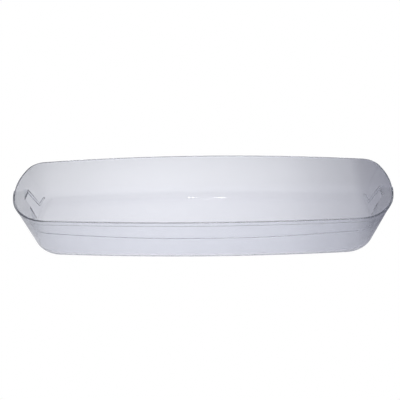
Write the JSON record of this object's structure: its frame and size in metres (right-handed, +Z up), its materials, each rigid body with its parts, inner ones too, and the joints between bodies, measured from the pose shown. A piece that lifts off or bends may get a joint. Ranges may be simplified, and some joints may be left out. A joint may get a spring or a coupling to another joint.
{
  "type": "fridge door shelf",
  "caption": "Clear one-piece fridge door shelf: a long shallow tray with bowed walls, flared ends, a lip round the front of its rim, and lug channels moulded on its ends.",
  "frame": {"origin": "middle of the flat underside", "axes": "+X along the shelf, +Y towards the door, -Y the front, +Z up"},
  "size_m": [0.4398, 0.1188, 0.062],
  "materials": {
    "clear_plastic": "clear polished styrene plastic with a faint blue-grey tint"
  },
  "bodies": {
    "root": {"door_shelf": "clear_plastic"}
  },
  "joints": []
}
